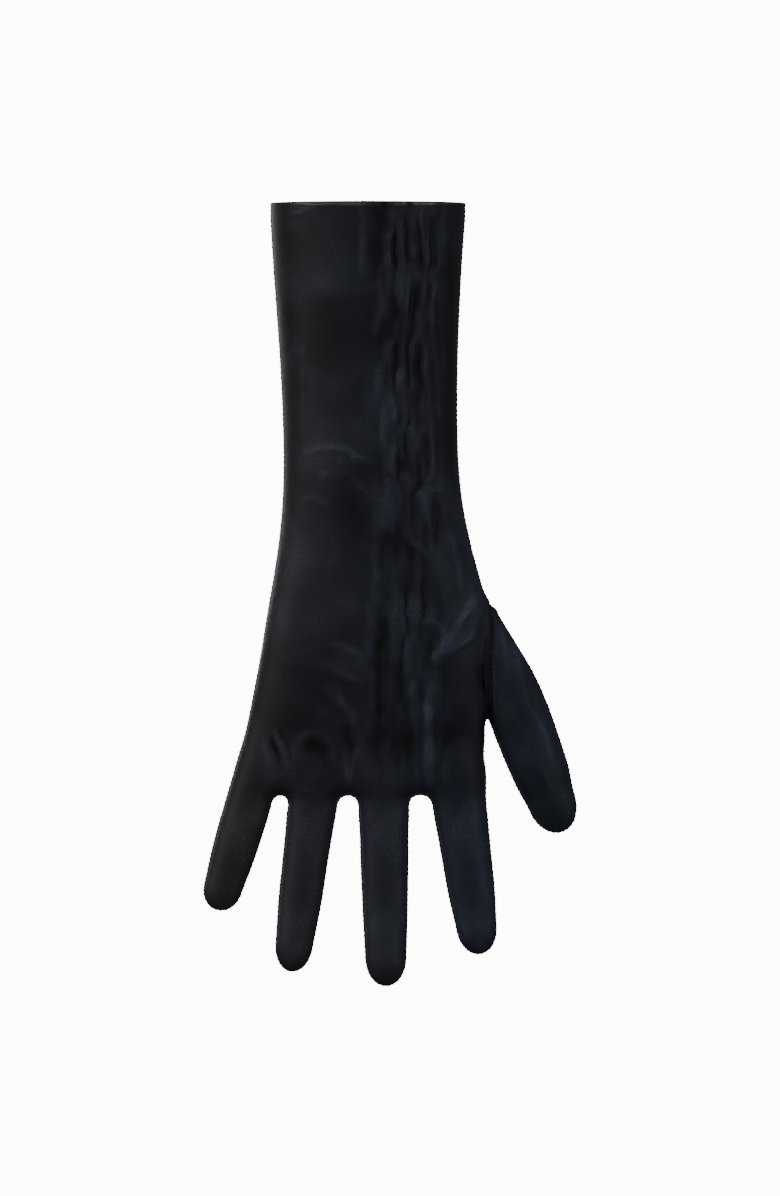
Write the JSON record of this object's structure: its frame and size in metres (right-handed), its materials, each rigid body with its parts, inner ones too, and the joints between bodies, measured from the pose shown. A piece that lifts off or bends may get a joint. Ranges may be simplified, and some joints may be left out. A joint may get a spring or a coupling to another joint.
{
  "type": "long sheer mesh glove",
  "caption": "Long, close-fitting left-hand glove of sheer black stretch mesh, with a set-in thumb, that bends at the wrist and at every knuckle of the hand in it.",
  "frame": {"origin": "centre of the cuff's opening, in the plane of its cut edge", "axes": "+Z out of the cuff along the arm, so the fingers point along -Z; -Y is the palm side; +X is the thumb side"},
  "size_m": [0.1485, 0.058, 0.3121],
  "materials": {
    "mesh": "matt",
    "crease_mesh": "matt"
  },
  "bodies": {
    "sleeve": {"sleeve_palm": "mesh", "sleeve_back": "mesh"},
    "hand": {"wrist_crease_palm": "crease_mesh", "wrist_crease_back": "crease_mesh", "hand_palm": "mesh", "hand_back": "mesh", "thumb_root": "mesh"},
    "thumb_base": {"thumb_base_crease": "crease_mesh", "thumb_base_palm": "mesh", "thumb_base_back": "mesh"},
    "thumb_tip": {"thumb_tip_crease": "crease_mesh", "thumb_tip_palm": "mesh", "thumb_tip_back": "mesh"},
    "little_base": {"little_base_crease": "crease_mesh", "little_base_palm": "mesh", "little_base_back": "mesh"},
    "little_middle": {"little_middle_crease": "crease_mesh", "little_middle_palm": "mesh", "little_middle_back": "mesh"},
    "little_tip": {"little_tip_crease": "crease_mesh", "little_tip_palm": "mesh", "little_tip_back": "mesh"},
    "ring_base": {"ring_base_crease": "crease_mesh", "ring_base_palm": "mesh", "ring_base_back": "mesh"},
    "ring_middle": {"ring_middle_crease": "crease_mesh", "ring_middle_palm": "mesh", "ring_middle_back": "mesh"},
    "ring_tip": {"ring_tip_crease": "crease_mesh", "ring_tip_palm": "mesh", "ring_tip_back": "mesh"},
    "middle_base": {"middle_base_crease": "crease_mesh", "middle_base_palm": "mesh", "middle_base_back": "mesh"},
    "middle_middle": {"middle_middle_crease": "crease_mesh", "middle_middle_palm": "mesh", "middle_middle_back": "mesh"},
    "middle_tip": {"middle_tip_crease": "crease_mesh", "middle_tip_palm": "mesh", "middle_tip_back": "mesh"},
    "index_base": {"index_base_crease": "crease_mesh", "index_base_palm": "mesh", "index_base_back": "mesh"},
    "index_middle": {"index_middle_crease": "crease_mesh", "index_middle_palm": "mesh", "index_middle_back": "mesh"},
    "index_tip": {"index_tip_crease": "crease_mesh", "index_tip_palm": "mesh", "index_tip_back": "mesh"}
  },
  "joints": [
    {"name": "wrist_bend", "type": "hinge", "parent": "sleeve", "child": "hand", "pos_m": [0.0017, 0, -0.116], "axis": [-1, 0, 0], "range_deg": [-60, 70], "deforming": ["wrist_crease_palm", "wrist_crease_back"]},
    {"name": "thumb_base_bend", "type": "hinge", "parent": "hand", "child": "thumb_base", "pos_m": [0.06161, 0, -0.20776], "axis": [-0.7175, 0.6428, -0.2683], "range_deg": [0, 32], "deforming": ["thumb_base_crease"]},
    {"name": "thumb_tip_bend", "type": "hinge", "parent": "thumb_base", "child": "thumb_tip", "pos_m": [0.06931, 0, -0.22837], "axis": [-0.7175, 0.6428, -0.2683], "range_deg": [0, 60], "deforming": ["thumb_tip_crease"]},
    {"name": "little_base_bend", "type": "hinge", "parent": "hand", "child": "little_base", "pos_m": [-0.04816, 0, -0.24105], "axis": [-0.9583, 0, 0.2857], "range_deg": [-15, 70], "deforming": ["little_base_crease"]},
    {"name": "little_middle_bend", "type": "hinge", "parent": "little_base", "child": "little_middle", "pos_m": [-0.05255, 0, -0.2558], "axis": [-0.9583, 0, 0.2857], "range_deg": [0, 76], "deforming": ["little_middle_crease"]},
    {"name": "little_tip_bend", "type": "hinge", "parent": "little_middle", "child": "little_tip", "pos_m": [-0.05656, 0, -0.26922], "axis": [-0.9583, 0, 0.2857], "range_deg": [0, 38], "deforming": ["little_tip_crease"]},
    {"name": "ring_base_bend", "type": "hinge", "parent": "hand", "child": "ring_base", "pos_m": [-0.02234, 0, -0.2416], "axis": [-0.9917, 0, 0.1288], "range_deg": [-15, 70], "deforming": ["ring_base_crease"]},
    {"name": "ring_middle_bend", "type": "hinge", "parent": "ring_base", "child": "ring_middle", "pos_m": [-0.02535, 0, -0.26481], "axis": [-0.9917, 0, 0.1288], "range_deg": [0, 76], "deforming": ["ring_middle_crease"]},
    {"name": "ring_tip_bend", "type": "hinge", "parent": "ring_middle", "child": "ring_tip", "pos_m": [-0.02812, 0, -0.28613], "axis": [-0.9917, 0, 0.1288], "range_deg": [0, 38], "deforming": ["ring_tip_crease"]},
    {"name": "middle_base_bend", "type": "hinge", "parent": "hand", "child": "middle_base", "pos_m": [0.0063, 0, -0.24189], "axis": [-0.9999, 0, -0.014], "range_deg": [-15, 70], "deforming": ["middle_base_crease"]},
    {"name": "middle_middle_bend", "type": "hinge", "parent": "middle_base", "child": "middle_middle", "pos_m": [0.00665, 0, -0.26729], "axis": [-0.9999, 0, -0.014], "range_deg": [0, 76], "deforming": ["middle_middle_crease"]},
    {"name": "middle_tip_bend", "type": "hinge", "parent": "middle_middle", "child": "middle_tip", "pos_m": [0.00698, 0, -0.29048], "axis": [-0.9999, 0, -0.014], "range_deg": [0, 38], "deforming": ["middle_tip_crease"]},
    {"name": "index_base_bend", "type": "hinge", "parent": "hand", "child": "index_base", "pos_m": [0.03681, 0, -0.24223], "axis": [-0.9905, 0, -0.1374], "range_deg": [-15, 70], "deforming": ["index_base_crease"]},
    {"name": "index_middle_bend", "type": "hinge", "parent": "index_base", "child": "index_middle", "pos_m": [0.03964, 0, -0.26263], "axis": [-0.9905, 0, -0.1374], "range_deg": [0, 76], "deforming": ["index_middle_crease"]},
    {"name": "index_tip_bend", "type": "hinge", "parent": "index_middle", "child": "index_tip", "pos_m": [0.0423, 0, -0.28185], "axis": [-0.9905, 0, -0.1374], "range_deg": [0, 38], "deforming": ["index_tip_crease"]}
  ],
  "couplings": [
    {"joint": "little_tip_bend", "follows": "little_middle_bend", "ratio": 0.5},
    {"joint": "ring_tip_bend", "follows": "ring_middle_bend", "ratio": 0.5},
    {"joint": "middle_tip_bend", "follows": "middle_middle_bend", "ratio": 0.5},
    {"joint": "index_tip_bend", "follows": "index_middle_bend", "ratio": 0.5}
  ]
}
